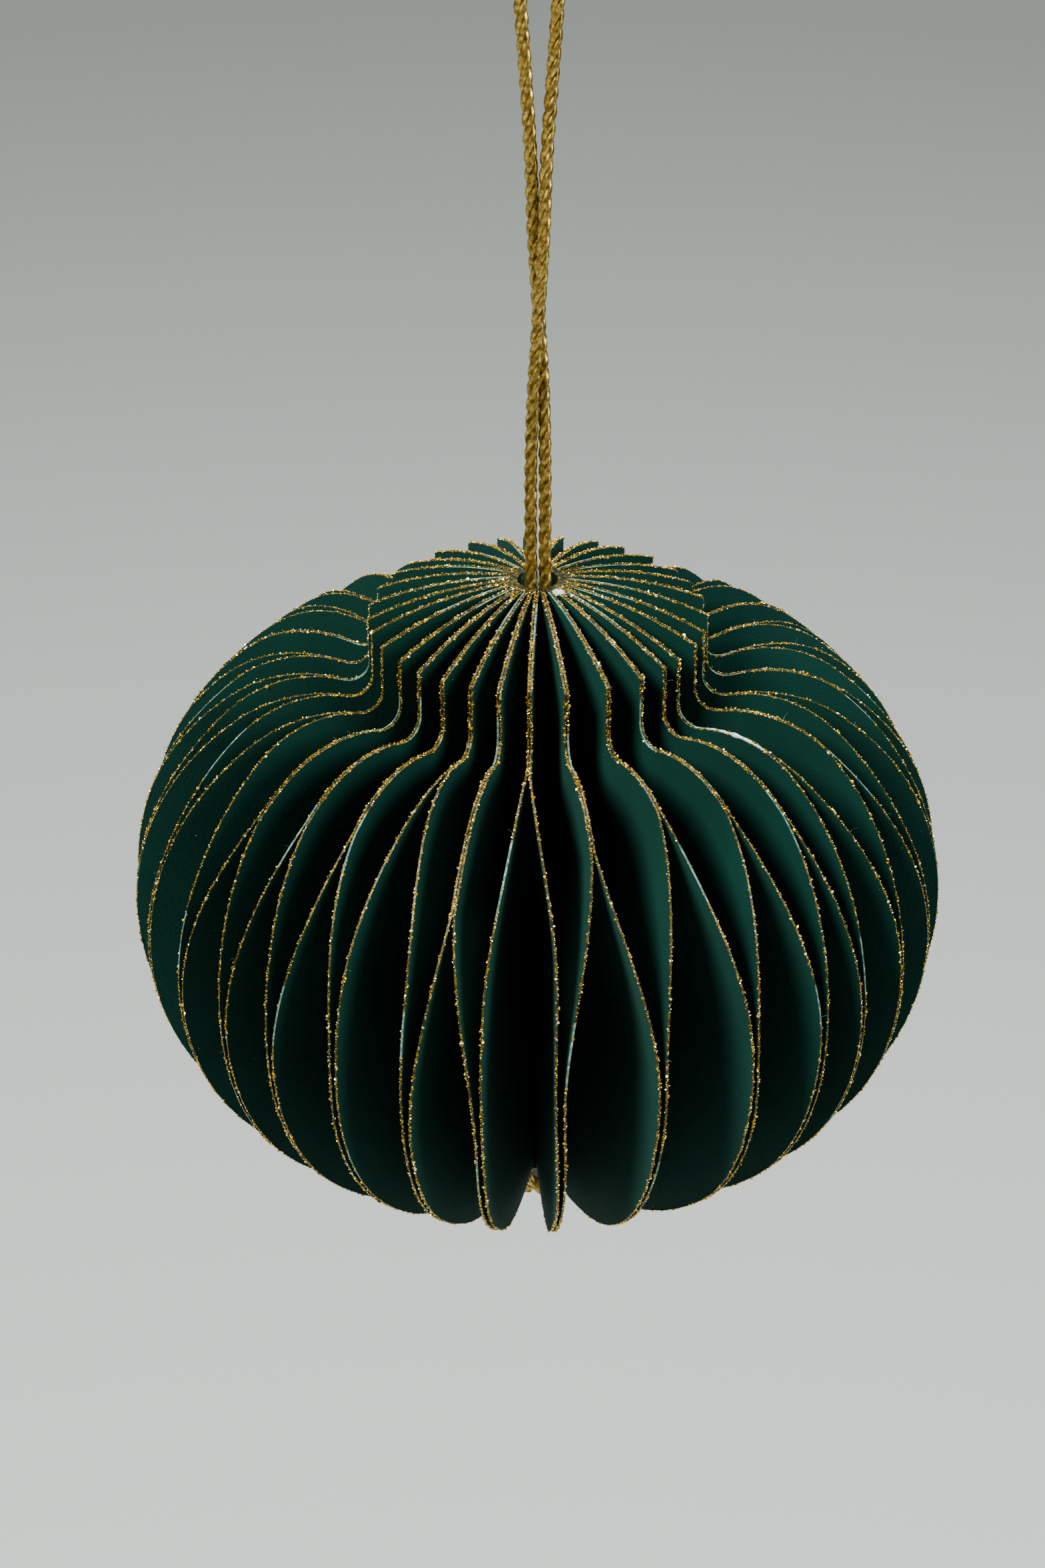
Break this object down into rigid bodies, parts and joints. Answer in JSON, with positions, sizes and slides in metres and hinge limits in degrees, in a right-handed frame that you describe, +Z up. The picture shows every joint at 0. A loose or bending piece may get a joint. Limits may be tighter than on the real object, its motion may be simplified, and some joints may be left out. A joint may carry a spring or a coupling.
{
  "type": "paper honeycomb ball ornament",
  "caption": "Flattened honeycomb ball of folded card leaves with glittered edges, hanging on a doubled metallic cord that passes down its bore to a knot.",
  "frame": {"origin": "the seat of the cord's loop on its hook, above the ball on its axis", "axes": "+Z up along the cord and the ball's axis; -Y is the front"},
  "size_m": [0.0649, 0.0649, 0.1175],
  "materials": {
    "card": "matte dark green card, gold glitter along the cut edges",
    "dried_glue": "dried white glue",
    "cord": "twisted gold metallic thread",
    "washer_card": "matte dark green card"
  },
  "bodies": {
    "hanger": {"hanging_cord": "cord", "end_knot": "cord"},
    "stopper": {"stop_washer": "washer_card"},
    "ball": {"sheet_01": "card", "sheet_02": "card", "sheet_03": "card", "sheet_04": "card", "sheet_05": "card", "sheet_06": "card", "sheet_07": "card", "sheet_08": "card", "sheet_09": "card", "sheet_10": "card", "sheet_11": "card", "sheet_12": "card", "sheet_13": "card", "sheet_14": "card", "sheet_15": "card", "sheet_16": "card", "sheet_17": "card", "sheet_18": "card", "sheet_19": "card", "sheet_20": "card", "sheet_21": "card", "sheet_22": "card", "sheet_23": "card", "sheet_24": "card", "sheet_25": "card", "sheet_26": "card", "sheet_27": "card", "sheet_28": "card", "sheet_29": "card", "sheet_30": "card", "sheet_31": "card", "sheet_32": "card", "upper_glue_spots": "dried_glue", "lower_glue_spots": "dried_glue"}
  },
  "joints": [
    {"name": "slide_up_cord", "type": "slide", "parent": "hanger", "child": "stopper", "axis": [0, 0, 1], "range_m": [0, 0.025]},
    {"name": "spin_on_cord", "type": "hinge", "parent": "stopper", "child": "ball", "pos_m": [0, 0, -0.084], "axis": [0, 0, 1], "continuous": true}
  ]
}
